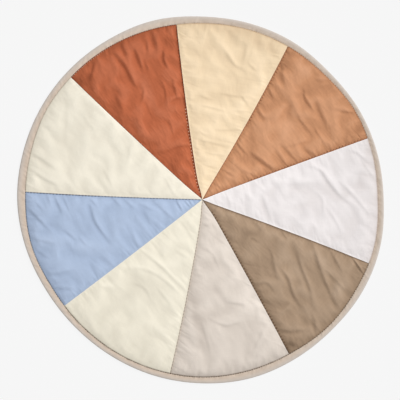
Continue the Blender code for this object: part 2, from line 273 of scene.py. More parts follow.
def seam_stray(seam, reach):
    """How far a seam lies off its straight line at a distance from the wedge point: a quadratic through
    its three values, which dies away at the point itself."""
    share = reach / (SEAM_STEPS * STEP)
    near, halfway, far = SEAM_STRAY[seam % len(SEAMS)]
    bow = near + share * (4 * halfway - 3 * near - far) + share**2 * (2 * near + 2 * far - 4 * halfway)
    return bow * STEP * (1.0 - np.exp(-((reach / (STRAY_START * STEP)) ** 2)))


def edge_distances(index, x, y):
    """Distance from the first seam, the second seam and the rim, in metres."""
    first = ray(SEAMS[index])
    second = ray(seam_after(index))
    off_x = x - HUB[0]
    off_y = y - HUB[1]
    rim = rim_steps(np.degrees(np.arctan2(off_y, off_x)), 0) * STEP
    from_first = first[0] * off_y - first[1] * off_x
    from_second = off_x * second[1] - off_y * second[0]
    reach = np.hypot(off_x, off_y)
    return from_first - seam_stray(index, reach), from_second + seam_stray(index + 1, reach), rim - reach


def smooth_line(points):
    """Points along the cubic through the given ones."""
    padded = np.vstack([2 * points[0] - points[1], points, 2 * points[-1] - points[-2]])
    weights = np.array(cubic_weights(np.linspace(0.0, 1.0, LINE_PIECES, endpoint=False)))
    runs = [weights.T @ padded[start:start + 4] for start in range(len(padded) - 3)]
    return np.vstack([*runs, points[-1:]])


def crease_relief(x, y, height, half_width, line):
    """One crease: across it, distance times a bell curve, so that the cloth rises towards the light
    side and sinks on the other; a wide bell carries it and a narrow one gives it its sharp middle.
    Along it, the height fades out at both ends, past the points given."""
    lead_in = CREASE_LEAD * (line[0] - line[min(4, len(line) - 1)])
    lead_out = CREASE_LEAD * (line[-1] - line[-min(5, len(line))])
    line = np.vstack([line[0] + lead_in, line, line[-1] + lead_out])
    near = np.full(x.shape, np.inf)
    side = np.zeros(x.shape)
    along = np.zeros(x.shape)
    lengths = np.hypot(*np.diff(line, axis=0).T)
    run_so_far = np.concatenate([[0.0], np.cumsum(lengths)])
    chord = line[-1] - line[0]
    across = np.array([-chord[1], chord[0]])
    facing = 1.0 if across @ ray(LIGHT_TURN) >= 0 else -1.0
    for place in range(len(line) - 1):
        start = line[place]
        run = line[place + 1] - start
        share = ((x - start[0]) * run[0] + (y - start[1]) * run[1]) / lengths[place] ** 2
        held = np.clip(share, 0.0, 1.0)
        gap_x = x - start[0] - held * run[0]
        gap_y = y - start[1] - held * run[1]
        gap = np.hypot(gap_x, gap_y)
        closer = gap < near
        near = np.where(closer, gap, near)
        turn = (run[0] * gap_y - run[1] * gap_x) / lengths[place] / np.maximum(gap, 1e-6)
        side = np.where(closer, turn * facing, side)
        along = np.where(closer, run_so_far[place] + held * lengths[place], along)
    whole = run_so_far[-1]
    fade = np.clip(np.minimum(along, whole - along) / (CREASE_FADE * whole), 0.0, 1.0)
    fade = 0.04 + 0.96 * np.sin(0.5 * math.pi * fade) ** 1.2
    wide = near / (CREASE_WIDE * half_width)
    narrow = near / (CREASE_NARROW * half_width)
    wide_bell = np.exp(-wide**2)
    narrow_bell = np.exp(-narrow**2)
    profile = side * (1.15 * wide * wide_bell + 0.14 * narrow * narrow_bell) - 0.10 * narrow_bell
    return height * fade * profile


def lattice_noise(a, b, seed):
    """Smooth noise from about -1 to 1: seeded slopes at whole numbers, blended by a quintic step."""
    slopes = np.random.default_rng(seed).uniform(0.0, 2 * math.pi, (64, 64))
    low_a = np.floor(a).astype(int)
    low_b = np.floor(b).astype(int)
    part_a = a - low_a
    part_b = b - low_b
    step_a = part_a**3 * (part_a * (6 * part_a - 15) + 10)
    step_b = part_b**3 * (part_b * (6 * part_b - 15) + 10)
    total = np.zeros(np.broadcast(a, b).shape)
    for i in (0, 1):
        for j in (0, 1):
            slope = slopes[(low_a + i) % 64, (low_b + j) % 64]
            rise = np.cos(slope) * (part_a - i) + np.sin(slope) * (part_b - j)
            total += rise * (step_a if i else 1 - step_a) * (step_b if j else 1 - step_b)
    return 1.6 * total


def gathers(x, y, places, turns, distance, seed):
    """Gathers along a stitched line: bell ridges that start at the given places and run along the
    given turns, each with its own width and reach, fading with the way along them."""
    draw = np.random.default_rng(seed)
    relief = np.zeros(x.shape)
    for (place_x, place_y), turn in zip(places, turns):
        width = draw.uniform(*GATHER_WIDTHS)
        reach = draw.uniform(*(SHORT_GATHERS if draw.random() < SHORT_SHARE else LONG_GATHERS))
        height = draw.uniform(0.35, 1.0) * draw.choice([-1.0, 1.0])
        way = math.radians(turn + draw.uniform(-14.0, 14.0))
        along = (x - place_x) * math.cos(way) + (y - place_y) * math.sin(way)
        across = (y - place_y) * math.cos(way) - (x - place_x) * math.sin(way)
        across = across / (width * (1.0 + np.maximum(along, 0.0) / 0.04))
        relief += height * np.exp(-across**2 - np.abs(along) / reach) * (along > -0.004)
    return relief * (1.0 - np.exp(-distance / 0.0012))


def seam_points(seam, reach):
    """Points on a seam at distances from the wedge point."""
    turn = math.radians(SEAMS[seam % len(SEAMS)]) + seam_stray(seam, reach) / reach
    return HUB + reach[:, None] * np.stack([np.cos(turn), np.sin(turn)], axis=1)


def seam_places(seam):
    """Uneven places along a seam, the same for the two panels that share it."""
    draw = np.random.default_rng(100 + seam)
    reach = np.arange(0.02, rim_steps(np.array(SEAMS[seam]), 0) * STEP, GATHER_PITCH)
    return seam_points(seam, reach + draw.uniform(-0.4, 0.4, len(reach)) * GATHER_PITCH)


def rim_places():
    """Uneven angles round the binding's inner edge, with their places."""
    draw = np.random.default_rng(300)
    pitch = math.degrees(GATHER_PITCH / RIM_RADIUS)
    turns = np.arange(0.0, 360.0, pitch)
    turns = turns + draw.uniform(-0.4, 0.4, len(turns)) * pitch
    reach = rim_steps(turns, 0) * STEP
    return turns, HUB + reach[:, None] * ray(turns)


def along_grain(x, y):
    """Distances along and across the way that the cloth's crinkles run."""
    grain = math.radians(CLOTH_GRAIN)
    return x * math.cos(grain) + y * math.sin(grain), -x * math.sin(grain) + y * math.cos(grain)


def blur(field, reach):
    """A square field blurred by a bell curve of the given reach, through its frequencies."""
    waves = np.hypot(np.fft.fftfreq(len(field))[:, None], np.fft.rfftfreq(len(field))[None, :])
    bell = np.exp(-2 * (math.pi * waves * reach / SHEET_PITCH) ** 2)
    return np.fft.irfft2(np.fft.rfft2(field) * bell, s=field.shape)


def new_object(name, data):
    """An object at the origin, linked to the scene."""
    made = bpy.data.objects.new(name, data)
    bpy.context.scene.collection.objects.link(made)
    return made


def simulated_folds():
    """Relief of one square sheet that Blender's cloth solver lets buckle between its pinned seams:
    it starts from the creases and a faint grain, grows by a share, and keeps what a blur takes out."""
    count = 2 * math.ceil(0.52 / SHEET_PITCH) + 1
    line = (np.arange(count) - count // 2) * SHEET_PITCH
    x, y = np.meshgrid(line, line, indexing="ij")
    off_x = x - HUB[0]
    off_y = y - HUB[1]
    turn = np.mod(np.degrees(np.arctan2(off_y, off_x)) - SEAMS[0], 360.0) + SEAMS[0]
    owner = np.searchsorted(SEAMS, turn, side="right") - 1
    along, cross = along_grain(x, y)
    start = 0.0012 * lattice_noise(along / 0.045, cross / 0.02, 3)
    nearest = np.full(x.shape, np.inf)
    for index, (name, *_rest) in enumerate(PANELS):
        inside = owner == index
        distances = np.array(edge_distances(index, x, y))
        nearest = np.where(inside, distances.min(axis=0), nearest)
        for height, half_width, *points in CREASES[name]:
            seed_line = smooth_line(from_layout(points))
            start += inside * crease_relief(x, y, 0.8 * height * MM, half_width * MM, seed_line)
    start = (start + 0.003) * (1.0 - np.exp(-np.maximum(nearest, 0.0) / 0.012))
    pinned = nearest < 0.6 * SHEET_PITCH
    points = np.column_stack([x.ravel(), y.ravel(), start.ravel()])
    mesh = bpy.data.meshes.new("trial sheet")
    mesh.from_pydata(points.tolist(), [], grid_quads(count, count).tolist())
    sheet = new_object("trial sheet", mesh)
    sheet.vertex_groups.new(name="seams").add(np.flatnonzero(pinned.ravel()).tolist(), 1.0, "REPLACE")
    cloth = sheet.modifiers.new("cloth", "CLOTH")
    cloth.settings.quality = 5
    cloth.settings.mass = 0.3
    cloth.settings.tension_stiffness = 15.0
    cloth.settings.compression_stiffness = 15.0
    cloth.settings.shear_stiffness = 7.5
    cloth.settings.bending_stiffness = SHEET_BENDING
    cloth.settings.vertex_group_mass = "seams"
    cloth.settings.shrink_min = -SHEET_EXCESS
    cloth.settings.effector_weights.gravity = 0.0
    cloth.collision_settings.use_collision = False
    cloth.collision_settings.use_self_collision = False
    cloth.point_cache.frame_start = 1
    cloth.point_cache.frame_end = SHEET_FRAMES
    for frame_number in range(1, SHEET_FRAMES + 1):
        bpy.context.scene.frame_set(frame_number)
    shaped = sheet.evaluated_get(bpy.context.evaluated_depsgraph_get())
    placed = np.empty(count * count * 3, dtype=np.float32)
    shaped.data.vertices.foreach_get("co", placed)
    height = placed.reshape(count, count, 3)[..., 2].astype(float)
    bpy.data.objects.remove(sheet)
    bpy.context.scene.frame_set(1)
    return line, blur(height, 0.003) - blur(height, FOLD_BLUR)


def sample_folds(x, y):
    """The simulated relief anywhere: the cubic through the four nearest samples, both ways."""
    line, folds = SHEET_FOLDS
    place_a = (x - line[0]) / SHEET_PITCH
    place_b = (y - line[0]) / SHEET_PITCH
    low_a = np.floor(place_a).astype(int)
    low_b = np.floor(place_b).astype(int)
    total = np.zeros(x.shape)
    for i, weight_a in enumerate(cubic_weights(place_a - low_a)):
        for j, weight_b in enumerate(cubic_weights(place_b - low_b)):
            total += weight_a * weight_b * folds[low_a + i - 1, low_b + j - 1]
    return total


def panel_relief(index, x, y):
    """Folds, creases, gathers and crinkles of a panel, in metres above its smooth crown."""
    name, _slot, _colour, crumple = PANELS[index]
    from_first, from_second, from_rim = (np.maximum(d, 0.0) for d in edge_distances(index, x, y))
    total = FOLD_SCALE * sample_folds(x, y)
    for height, half_width, *points in CREASES[name]:
        line = smooth_line(from_layout(points))
        total += CREASE_SCALE * crease_relief(x, y, height * MM, half_width * MM, line)
    small = np.zeros(x.shape)
    for side, distance in enumerate((from_first, from_second)):
        places = seam_places((index + side) % len(PANELS))
        turns = [GATHER_TURNS[index][side]] * len(places)
        small += gathers(x, y, places, turns, distance, 500 + 20 * side + index)
    turns, places = rim_places()
    near = np.mod(turns - SEAMS[index] + 2.0, 360.0) < seam_after(index) - SEAMS[index] + 4.0
    small += gathers(x, y, places[near], turns[near] + 168.0, from_rim, 540 + index)
    total += GATHER_HEIGHT * small
    along, cross = along_grain(x, y)
    bend = lattice_noise(x / 0.07, y / 0.07, 7) * 0.02
    patch = np.clip(0.5 + lattice_noise(x / 0.05, y / 0.05, 9), 0.0, 1.0)
    crinkle = 1.2 * lattice_noise(along / 0.045, (cross + bend) / 0.020, 11 + index)
    crinkle += 0.7 * patch * lattice_noise(along / 0.026, (cross + bend) / 0.010, 31 + index)
    finest = 0.34 + max(crumple - 0.7, 0.0)
    crinkle += finest * lattice_noise(along / 0.015, (cross + 0.6 * bend) / 0.0052, 131 + index)
    total += CRINKLE_HEIGHT * crinkle
    return total * crumple


def panel_top(index, x, y):
    """Height of a panel and its relief alone: the seam height, plus padding that fills out away from
    the edges as one minus an exponential, the relief, and a narrow groove along every edge."""
    distances = [np.maximum(distance, 0.0) for distance in edge_distances(index, x, y)]
    drops = EDGE_DROP[index]
    fill = np.prod([1.0 - drop * np.exp(-d / FILL_OUT) for drop, d in zip(drops, distances)], axis=0)
    relief = panel_relief(index, x, y)
    billow = lattice_noise(x / 0.055, y / 0.055, 51 + index) * BILLOW_HEIGHT
    held = np.prod([1.0 - np.exp(-distance / HELD_REACH) for distance in distances], axis=0)
    groove = sum(drop * np.exp(-d / GROOVE_REACH) for drop, d in zip(drops, distances))
    height = SEAM_HEIGHT + (CROWN_HEIGHT - SEAM_HEIGHT) * fill + (relief + billow * fill) * held
    return height - GROOVE_DEPTH * np.minimum(groove, 1.0), relief * held


def grid_quads(rings, corners, rings_meet=False, corners_meet=False):
    """Point numbers of the quads of a grid, anticlockwise where the corners of a ring turn
    anticlockwise round it; the last ring or corner may meet the first."""
    ring, corner = np.meshgrid(
        np.arange(rings if rings_meet else rings - 1),
        np.arange(corners if corners_meet else corners - 1),
        indexing="ij",
    )
    low = ring * corners
    onward = (ring + 1) % rings * corners
    after = (corner + 1) % corners
    return np.stack([low + corner, onward + corner, onward + after, low + after], axis=-1).reshape(-1, 4)


SHEET_FOLDS = simulated_folds()
SHARP_ANGLE = 60.0


def new_mesh_object(name, points, faces, materials):
    """Object at the origin from an array of points and lists of faces, smooth but for its sharp edges."""
    mesh = bpy.data.meshes.new(name)
    mesh.from_pydata(points.tolist(), [], faces)
    for material in materials:
        mesh.materials.append(material)
    mesh.shade_smooth()
    mesh.set_sharp_from_angle(angle=math.radians(SHARP_ANGLE))
    return new_object(name, mesh)


def set_attribute(piece, name, values):
    """A number at each point, for the materials to read."""
    attribute = piece.data.attributes.new(name, "FLOAT", "POINT")
    attribute.data.foreach_set("value", np.asarray(values, dtype=np.float32))


def linear(colour):
    """sRGB levels from 0 to 255 as the linear colour of a shader socket."""
    level = np.array(colour, dtype=float) / 255.0
    return (*(((level + 0.055) / 1.055) ** 2.4).tolist(), 1.0)


def set_inputs(node, values):
    """Constants for a node's sockets, by name."""
    for name, value in values.items():
        node.inputs[name].default_value = value


def new_material(name):
    """A material, its nodes, its links and its shader."""
    material = bpy.data.materials.new(name)
    material.use_nodes = True
    tree = material.node_tree
    return material, tree.nodes, tree.links, tree.nodes["Principled BSDF"]


YARN_PITCH = 0.0011


def make_cotton_group():
    """Plain-weave cotton: yarn slubs both ways, soft mottling, a painted highlight on ridges and painted
    shade in ditches.
    """
    group = bpy.data.node_groups.new("plain weave cotton", "ShaderNodeTree")
    for name, way, kind in (
        ("Place", "INPUT", "Vector"), ("Cloth", "INPUT", "Color"), ("Highlight", "INPUT", "Color"),
        ("Shade", "INPUT", "Color"), ("Slub", "INPUT", "Float"), ("Painted_light", "INPUT", "Float"),
        ("Painted_shade", "INPUT", "Float"), ("Color", "OUTPUT", "Color"), ("Height", "OUTPUT", "Float"),
    ):
        group.interface.new_socket(name, in_out=way, socket_type=f"NodeSocket{kind}")
    nodes = group.nodes
    links = group.links
    given = nodes.new("NodeGroupInput")
    out = nodes.new("NodeGroupOutput")

    def maths(operation, *values, kind="ShaderNodeMath"):
        """A maths node: its sockets get the constants, or links from the sockets given."""
        node = nodes.new(kind)
        node.operation = operation
        for socket, value in zip(node.inputs, values):
            if isinstance(value, bpy.types.NodeSocket):
                links.new(value, socket)
            else:
                socket.default_value = value
        return node.outputs[0]

    def vectors(operation, *values):
        """The same for vectors."""
        return maths(operation, *values, kind="ShaderNodeVectorMath")

    def stretched_noise(scale, roughness):
        """Noise about nought, whose grain is that many to the metre along each axis."""
        noise = nodes.new("ShaderNodeTexNoise")
        set_inputs(noise, {"Scale": 1.0, "Detail": 3.0, "Roughness": roughness})
        links.new(vectors("MULTIPLY", given.outputs["Place"], scale), noise.inputs["Vector"])
        return maths("SUBTRACT", noise.outputs["Fac"], 0.5)

    warp = stretched_noise((420.0, 40.0, 40.0), 0.6)
    weft = stretched_noise((40.0, 420.0, 40.0), 0.6)
    mottle = stretched_noise((28.0, 28.0, 28.0), 0.55)
    slubs = maths("ADD", warp, weft)
    tone = maths("MULTIPLY_ADD", slubs, given.outputs["Slub"], 1.0)
    tone = maths("MULTIPLY_ADD", mottle, 0.10, tone)
    toned = vectors("MULTIPLY", given.outputs["Cloth"], tone)
    painted_highlight = vectors("MULTIPLY", given.outputs["Highlight"], given.outputs["Painted_light"])
    mixed = nodes.new("ShaderNodeMix")
    mixed.data_type = "RGBA"
    links.new(given.outputs["Painted_shade"], mixed.inputs["Factor"])
    links.new(vectors("ADD", toned, painted_highlight), mixed.inputs["A"])
    links.new(given.outputs["Shade"], mixed.inputs["B"])
    links.new(mixed.outputs["Result"], out.inputs["Color"])

    parts = nodes.new("ShaderNodeSeparateXYZ")
    links.new(given.outputs["Place"], parts.inputs[0])
    yarn_x = maths("SINE", maths("MULTIPLY", parts.outputs["X"], 2 * math.pi / YARN_PITCH))
    yarn_y = maths("SINE", maths("MULTIPLY", parts.outputs["Y"], 2 * math.pi / YARN_PITCH))
    weave = maths("MULTIPLY", yarn_x, yarn_y)
    links.new(maths("MULTIPLY_ADD", weave, 0.35, slubs), out.inputs["Height"])
    return group


cotton_group = make_cotton_group()
# Painted highlight: a ridge gets paler by nearly the same step in red, green and blue, as a matt bloom on
# the cloth does.
HIGHLIGHT_SHARE = 0.85
HIGHLIGHT_BEND = 0.9


def cotton(name, colour, shade, turn, slub=0.10):
    """Matt cotton whose yarns run along and across the given angle. One point attribute of the mesh makes it
    paler by its value as a share, and darker where that is below nought, as painted light and shade; another
    mixes in the shade colour as painted shade."""
    material, nodes, links, shader = new_material(name)
    set_inputs(shader, {
        "Roughness": 0.92, "Specular IOR Level": 0.12, "Sheen Weight": 0.04, "Sheen Roughness": 0.5,
    })
    place = nodes.new("ShaderNodeTexCoord")
    mapping = nodes.new("ShaderNodeMapping")
    mapping.inputs["Rotation"].default_value = (0.0, 0.0, math.radians(-turn))
    links.new(place.outputs["Object"], mapping.inputs["Vector"])
    weave = nodes.new("ShaderNodeGroup")
    weave.node_tree = cotton_group
    links.new(mapping.outputs["Vector"], weave.inputs["Place"])
    # Colour of the painted highlight, from the cloth's red and its levels.
    pale = HIGHLIGHT_SHARE * linear(colour)[0] * (np.array(colour) / colour[0]) ** HIGHLIGHT_BEND
    set_inputs(weave, {"Cloth": linear(colour), "Highlight": (*pale, 1.0), "Shade": linear(shade), "Slub": slub})
    for name in ("Painted_light", "Painted_shade"):
        reading = nodes.new("ShaderNodeAttribute")
        reading.attribute_name = name.lower()
        links.new(reading.outputs["Fac"], weave.inputs[name])
    links.new(weave.outputs["Color"], shader.inputs["Base Color"])
    raised = nodes.new("ShaderNodeBump")
    set_inputs(raised, {"Strength": 0.25, "Distance": 0.0004})
    links.new(weave.outputs["Height"], raised.inputs["Height"])
    links.new(raised.outputs["Normal"], shader.inputs["Normal"])
    return material


UNDERSIDE = (222, 212, 198)
underside_cotton = cotton("underside cotton", UNDERSIDE, UNDERSIDE, 0.0)
TIP_RADIUS = 0.0012
# Painted highlight on ridges and painted shade in troughs: change of brightness per millimetre of relief;
# then how deep the shade colour darkens, by which any darkening is divided to give its share of the shade
# mix.
RELIEF_PAINTED_LIGHT = 0.05
SHADE_MIX_DEPTH = 0.8
PERCENT_TONE = 0.022
# Painted light and shade in broad patches, darker where the padding lies thin and brighter where it is full:
# percent, half length and half width in millimetres, the way that it runs, and its middle.
PAINTED_LIGHT_PATCHES = {
    "caramel": (
        (-9, 30, 13, 60, (288, 62)), (10, 34, 28, 10, (286, 127)), (5, 24, 14, -45, (304, 70)),
        (-10, 32, 13, 25, (356, 131)), (-5, 26, 13, 20, (304, 93)), (-4, 26, 12, 30, (246, 160)),
    ),
    "butter": (
        (-7, 80, 17, -28, (262, 46)), (-4, 70, 14, -6, (222, 31)), (3, 24, 15, -60, (241, 70)),
        (-2, 60, 9, -4, (236, 96)),
    ),
    "rust": (
        (-12, 26, 18, 45, (84, 79)), (10, 66, 19, -67, (147, 92)), (-7, 38, 15, -72, (166, 43)),
        (-8, 32, 15, -45, (124, 112)), (-6, 34, 12, 55, (180, 160)), (-5, 36, 12, 38, (118, 46)),
        (4, 50, 10, -45, (132, 122)),
    ),
    "cream_upper": (
        (3, 40, 16, -12, (42, 182)), (-2, 60, 24, 60, (56, 152)), (2, 40, 20, -42, (120, 120)),
    ),
    "blue": (
        (-3, 60, 18, -8, (136, 211)), (5, 44, 24, -30, (80, 243)), (4, 30, 16, 0, (44, 242)),
        (-4, 40, 18, -50, (48, 290)),
    ),
    "cream_lower": (
        (-3, 40, 24, -40, (142, 288)), (2, 50, 12, -38, (76, 312)), (2, 50, 20, -45, (165, 250)),
    ),
    "greige": (
        (-6, 80, 15, -80, (196, 314)), (5, 62, 26, -58, (252, 302)), (3, 50, 20, -62, (228, 258)),
        (-3, 30, 16, 0, (214, 290)),
    ),
    "taupe": (
        (-8, 50, 16, -28, (246, 231)), (-5, 110, 12, -60, (262, 296)), (9, 50, 20, -55, (296, 270)),
        (6, 34, 18, -45, (322, 262)), (8, 30, 18, 45, (338, 290)), (5, 30, 16, 20, (300, 312)),
        (-11, 30, 18, 30, (289, 346)),
    ),
    "white": (
        (-3, 90, 16, 82, (364, 172)), (2, 60, 20, 15, (296, 176)), (2, 60, 14, -20, (322, 226)),
    ),
}
# Painted shade at each panel's edges: how dark its lines are at its first seam, its second seam and the
# binding, how dark the soft zones beside them, and the colour of that dark.
EDGE_SHADE = (
    ((0.50, 0.60, 0.50), (0.20, 0.16, 0.14), (112, 70, 44)),
    ((0.00, 0.10, 0.50), (0.00, 0.03, 0.24), (150, 112, 76)),
    ((0.50, 0.80, 0.75), (0.18, 0.14, 0.18), (100, 50, 28)),
    ((0.00, 0.10, 0.45), (0.00, 0.05, 0.06), (140, 116, 90)),
    ((0.80, 0.05, 0.90), (0.08, 0.00, 0.12), (72, 88, 118)),
    ((0.00, 0.05, 1.00), (0.00, 0.00, 0.08), (88, 66, 44)),
    ((0.50, 0.00, 1.10), (0.12, 0.00, 0.20), (92, 68, 48)),
    ((0.65, 0.25, 0.80), (0.34, 0.02, 0.20), (88, 68, 50)),
    ((0.00, 0.00, 0.55), (0.00, 0.00, 0.18), (152, 126, 108)),
)
# Painted light at each panel's first and second seam, where the turned-in edges lie under it: how much
# brighter, as a share.
EDGE_PAINTED_LIGHT = (
    (0.0, 0.0), (0.09, 0.06), (0.0, 0.0), (0.09, 0.03), (0.0, 0.0), (0.06, 0.01), (0.02, 0.12),
    (0.0, 0.02), (0.08, 0.13),
)
PAINTED_LIGHT_REACH = 0.009
PANEL_SLUB = 0.15
LINE_REACH = 0.0024
ZONE_REACH = 0.0075
RIM_ZONE_REACH = 0.016
STITCH_PITCH = 0.0088
DIP_SHADE = 0.7
DIP_REACH = 0.0022
BROWN_SEAMS = (
    # panel that carries them, 0 for its first seam and 1 for its second, metres from the seam, and the
    # steps from the wedge point where the row begins and ends
    (0, 0, 0.0030, 50, 172),
    (0, 1, 0.0038, 86, 172),
    (2, 0, 0.0018, 96, 172),
    (4, 0, 0.0010, 104, 172),
    (7, 0, 0.0036, 16, 172),
)
LIGHT_SEAMS = (
    (2, 0, 0.0040, 8, 94),
)


def needle_dips(index, x, y, from_first, from_second):
    """Painted shade in the dips where the needle draws the cloth down: bells across the stitched rows, times
    the upper half of a cosine along them. Under light thread they lie between the stitches."""
    reach = np.hypot(x - HUB[0], y - HUB[1])
    total = np.zeros(x.shape)
    for rows, shift in ((BROWN_SEAMS, 0.0), (LIGHT_SEAMS, 0.5)):
        for panel, seam, distance, start, end in rows:
            if panel != index:
                continue
            off = (from_second if seam else from_first) - distance
            beat = np.cos(2 * math.pi * ((reach - start * STEP) / STITCH_PITCH + shift))
            beat = beat * (0.7 + 0.6 * lattice_noise(reach / 0.03, reach * 0, 95))
            inside = (reach > start * STEP) & (reach < end * STEP)
            total += inside * np.exp(-((off / DIP_REACH) ** 2)) * np.maximum(beat, 0.0)
    return total


def painted_panel_light(index, x, y):
    """Painted light and shade as a share of the cloth's brightness: broad bells, and a painted brighter
    strip at the seams where the turned-in edges lie under it."""
    tone = np.zeros(x.shape)
    for percent, half_length, half_width, turn, middle in PAINTED_LIGHT_PATCHES[PANELS[index][0]]:
        place = from_layout(middle)
        way = ray(turn)
        along = ((x - place[0]) * way[0] + (y - place[1]) * way[1]) / (half_length * MM)
        across = ((y - place[1]) * way[0] - (x - place[0]) * way[1]) / (half_width * MM)
        tone += PERCENT_TONE * percent * np.exp(-(along**2) - across**2)
    for lift, distance in zip(EDGE_PAINTED_LIGHT[index], edge_distances(index, x, y)):
        tone += lift * np.exp(-np.maximum(distance, 0.0) / PAINTED_LIGHT_REACH)
    return tone


def make_panel(index):
    """One wedge pad: a fan from its tip, a polar grid to the rim, upright walls and a flat base. The
    grid is turned about the wedge point by the stray of its two seams, shared out across it."""
    name, slot, colour, crumple = PANELS[index]
    first = SEAMS[index]
    second = seam_after(index)
    tip = HUB + ray((first + second) / 2) * PIECE_GAP / 2 / math.sin(math.radians(second - first) / 2)
    # The columns crowd at both seams: even shares, each less half a sine wave of its own turn.
    across = np.linspace(0.0, 1.0, COLUMNS + 1)
    across = across - 0.5 * np.sin(2 * math.pi * across) / (2 * math.pi)
    turns = first + (second - first) * across
    middle = math.radians((first + second) / 2)
    tip_lead = np.hypot(*(tip - HUB)) * np.cos(np.radians(turns) - middle)
    edge = rim_steps(turns, 0) * STEP - PIECE_GAP - tip_lead
    shares = 1.0 - (1.0 - np.linspace(0.0, 1.0, ROWS + 1)) ** 1.2
    reach = TIP_RADIUS + shares[:, None] * (edge[None, :] - TIP_RADIUS)
    x = tip[0] + reach * np.cos(np.radians(turns))[None, :]
    y = tip[1] + reach * np.sin(np.radians(turns))[None, :]
    whole = np.hypot(x - HUB[0], y - HUB[1])
    straight = np.arctan2(y - HUB[1], x - HUB[0])
    stray = (1.0 - across) * seam_stray(index, whole) + across * seam_stray(index + 1, whole)
    turned = straight + stray / whole
    whole = whole * rim_steps(np.degrees(turned), 0) / rim_steps(np.degrees(straight), 0)
    x = HUB[0] + whole * np.cos(turned)
    y = HUB[1] + whole * np.sin(turned)
    height, relief = panel_top(index, x, y)
    from_first, from_second, from_rim = edge_distances(index, x, y)
    # Painted shade at the edges: dark lines along both seams and the binding, dotted like stitches along the
    # seams, soft dark zones beside them that reach further towards the binding, and dark dips where the
    # needle draws the cloth down.
    lines, zones, shade = EDGE_SHADE[index]
    dots = 0.62 + 0.38 * np.cos(2 * math.pi * np.hypot(x - HUB[0], y - HUB[1]) / STITCH_PITCH)
    uneven = 0.85 + 0.3 * lattice_noise(x / 0.02, y / 0.02, 91)
    painted_shade = DIP_SHADE * needle_dips(index, x, y, from_first, from_second)
    for side, distance in enumerate((from_first, from_second)):
        painted_shade = painted_shade + lines[side] * dots * np.exp(-((distance / LINE_REACH) ** 4))
        painted_shade = painted_shade + zones[side] * np.exp(-((distance / ZONE_REACH) ** 2))
    painted_shade = painted_shade + lines[2] * uneven * np.exp(-((from_rim / LINE_REACH) ** 2))
    painted_shade = painted_shade + zones[2] * np.exp(-from_rim / RIM_ZONE_REACH)
    top = np.column_stack([x.ravel(), y.ravel(), height.ravel()])
    wide = COLUMNS + 1
    tip_number = len(top)
    loop = np.concatenate([
        [tip_number],
        np.arange(0, ROWS) * wide,
        ROWS * wide + np.arange(0, COLUMNS),
        np.arange(ROWS, -1, -1) * wide + COLUMNS,
    ])
    points = np.vstack([top, [(*tip, height[0].min())]])
    below = len(points) + np.arange(len(loop))
    floor_points = points[loop].copy()
    floor_points[:, 2] = 0.0
    points = np.vstack([points, floor_points])
    after = np.roll(np.arange(len(loop)), -1)
    walls = np.column_stack([below, below[after], loop[after], loop])
    fan = np.column_stack([np.full(COLUMNS, tip_number), np.arange(COLUMNS), np.arange(1, wide)])
    faces = grid_quads(ROWS + 1, wide).tolist() + fan.tolist() + walls.tolist()
    faces.append(below[::-1].tolist())
    cloth = cotton(f"{name} cotton", colour, shade, (first + second) / 2, slub=PANEL_SLUB * crumple)
    piece = new_mesh_object(f"pad_{name}", points, faces, [cloth, underside_cotton])
    piece.data.polygons[-1].material_index = 1
    spare = len(points) - relief.size
    # Painted highlight on the ridges of the relief and painted shade in its troughs, with the panel's broad
    # painted light and shade: the brighter part is one attribute, the darker part joins the painted shade
    # mix.
    tone = RELIEF_PAINTED_LIGHT * np.clip(relief / MM, -1.5, 1.5) + painted_panel_light(index, x, y)
    painted_shade = painted_shade + np.maximum(-tone, 0.0) / SHADE_MIX_DEPTH
    for kind, values in (("painted_light", np.maximum(tone, 0.0)), ("painted_shade", np.clip(painted_shade, 0.0, 1.0))):
        set_attribute(piece, kind, np.concatenate([values.ravel(), np.zeros(spare)]))
    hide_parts(f"panel_{name}")
    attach(piece, "root")


for panel in range(len(PANELS)):
    make_panel(panel)

# The binding: a bias-cut strip of beige cotton, folded over the rim and stitched down in the ditch.
# Its roll is as uneven in width as the hand that turned it, with short slanting puckers.
BINDING_COLOUR = (208, 191, 175)
# The binding's shade colour is the painted shade of its outer half, which rolls away from the light.
BINDING_SHADE = (208, 197, 187)
BINDING_STATIONS = 1000
BINDING_SECTION = np.array([
    # share of the width, height: along the outside of the strip, from its hem in the ditch to its
    # hem on the underside
    (0.006, 0.0034), (0.05, 0.0040), (0.16, 0.0046), (0.30, 0.0050), (0.45, 0.0053), (0.60, 0.0054),
    (0.74, 0.0053), (0.87, 0.0050), (0.95, 0.0044), (0.99, 0.0034), (1.00, 0.0020), (0.985, 0.0009),
    (0.94, 0.0002), (0.86, 0.0), (0.60, 0.0), (0.30, 0.0), (0.006, 0.0),
])
BINDING_CLOTH = 0.0009
BINDING_WIDTH = 0.017
BINDING_TOP = 0.0055
BINDING_RADIUS = 0.49
BINDING_PAINTED_LIGHT = (
    # painted light and shade round the binding: change of brightness as a share, middle and half length in
    # degrees, how steep its ends are
    (0.09, 118.0, 20.0, 4), (-0.03, 250.0, 30.0, 2), (-0.07, 358.0, 16.0, 2), (0.03, 318.0, 20.0, 2),
)
PUCKER_HEIGHT = 0.0008
# Painted light and shade on the puckers: brighter where they rise, darker where they sink.
PUCKER_PAINTED_LIGHT = 0.044
# The slanting join of the strip's two ends.
JOIN_TURN = 97.5
JOIN_SLANT = 2.0
JOIN_HALF_WIDTH = 0.0009
JOIN_DEPTH = 0.0006
# Painted shade along the join's groove.
JOIN_PAINTED_SHADE = 0.08


def closed_section():
    """The strip's outside in metres across and up, then its inside: each point moved in at right
    angles by the cloth's thickness."""
    run = np.gradient(BINDING_SECTION * (BINDING_WIDTH, 1.0), axis=0)
    inward = np.column_stack([run[:, 1], -run[:, 0]]) / np.hypot(run[:, 0], run[:, 1])[:, None]
    inside = BINDING_SECTION + inward * BINDING_CLOTH / (BINDING_WIDTH, 1.0)
    return np.vstack([BINDING_SECTION[::-1], inside])


